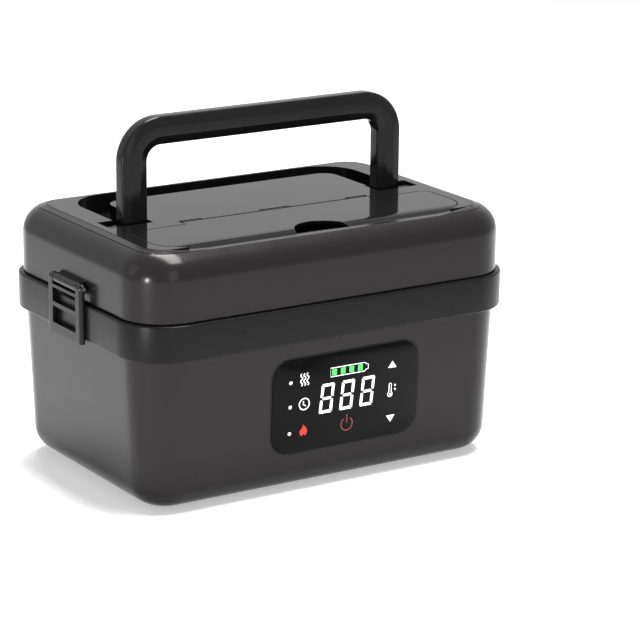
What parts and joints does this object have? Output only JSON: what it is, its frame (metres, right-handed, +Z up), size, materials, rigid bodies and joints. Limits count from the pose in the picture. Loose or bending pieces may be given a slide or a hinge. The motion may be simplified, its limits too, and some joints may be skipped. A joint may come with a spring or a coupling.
{
  "type": "electric lunch box",
  "caption": "portable heated lunch box with a tapered body, a stepped band, a deep lift-off lid held by end latches, a folding carry handle and a hinged flap over a cutlery compartment",
  "frame": {"origin": "centre of the footprint, on the plane of the feet", "axes": "+X to the right seen from the front, +Y to the back, +Z up"},
  "size_m": [0.2622, 0.1728, 0.213],
  "materials": {
    "body_paint": "satin metallic",
    "lid_paint": "satin metallic",
    "black_plastic": "fine matt",
    "black_gloss": "glossy",
    "panel_black": "glossy",
    "handle_black": "semi-gloss",
    "latch_black": "semi-gloss",
    "rubber": "matt",
    "seal_grey": "soft matt",
    "steel": "brushed",
    "aluminium": "plain",
    "ceramic_grey": "matt",
    "felt": "felted",
    "white_plastic": "smooth",
    "cell_wrap": "shrink wrap",
    "board_green": "solder mask",
    "copper": "enamelled",
    "brass": "plain",
    "wire_red": "smooth"
  },
  "bodies": {
    "base": {"outer_shell": "body_paint", "collar_band": "black_plastic", "bottom_cover": "black_plastic", "rubber_feet": "rubber", "bottom_screws": "steel", "inner_liner": "aluminium", "heating_plate": "aluminium", "heater_bars": "ceramic_grey", "heater_clamp": "steel", "insulation_pad": "felt", "temperature_probe": "white_plastic", "thermal_fuse": "steel", "battery_cells": "cell_wrap", "cell_holder": "black_plastic", "cell_straps": "steel", "control_board": "board_green", "board_coils": "copper", "board_capacitors": "black_plastic", "power_switches": "black_plastic", "heat_sink": "aluminium", "connectors": "white_plastic", "board_screws": "steel", "panel_glass": "panel_black", "panel_bezel": "black_gloss", "display_board": "board_green", "digit_block": "white_plastic", "indicator_lights": "white_plastic", "touch_springs": "brass", "charging_inlet": "black_plastic", "inlet_nut": "steel", "inlet_ring": "steel", "heater_wires": "wire_red", "battery_wires": "black_plastic", "display_ribbon": "white_plastic", "inlet_wires": "wire_red"},
    "container": {"food_container": "steel"},
    "lid": {"lid_shell": "lid_paint", "top_panel": "black_gloss", "compartment_tray": "black_plastic", "lid_liner": "white_plastic", "lid_seal": "seal_grey", "lid_screws": "steel", "top_screws": "steel", "handle_pins": "steel", "flap_pin": "steel", "latch_pins": "steel"},
    "carry_handle": {"handle": "handle_black"},
    "compartment_flap": {"flap": "black_gloss"},
    "latch_left": {"left_latch": "latch_black"},
    "latch_right": {"right_latch": "latch_black"}
  },
  "joints": [
    {"name": "lid_lift", "type": "slide", "parent": "base", "child": "lid", "axis": [0, 0, 1], "range_m": [0, 0.1]},
    {"name": "container_lift", "type": "slide", "parent": "base", "child": "container", "axis": [0, 0, 1], "range_m": [0, 0.066]},
    {"name": "handle_fold", "type": "hinge", "parent": "lid", "child": "carry_handle", "pos_m": [0, -0.001, 0.1468], "axis": [-1, 0, 0], "range_deg": [0, 90]},
    {"name": "flap_open", "type": "hinge", "parent": "lid", "child": "compartment_flap", "pos_m": [0, -0.0162, 0.1514], "axis": [-1, 0, 0], "range_deg": [0, 90]},
    {"name": "left_latch_swing", "type": "hinge", "parent": "lid", "child": "latch_left", "pos_m": [-0.1282, 0, 0.122], "axis": [0, 1, 0], "range_deg": [0, 144]},
    {"name": "right_latch_swing", "type": "hinge", "parent": "lid", "child": "latch_right", "pos_m": [0.1282, 0, 0.122], "axis": [0, -1, 0], "range_deg": [0, 144]}
  ],
  "couplings": [
    {"joint": "container_lift", "follows": "lid_lift", "ratio": 0.65},
    {"joint": "left_latch_swing", "follows": "lid_lift", "rad_per_m": 25},
    {"joint": "right_latch_swing", "follows": "lid_lift", "rad_per_m": 25}
  ]
}
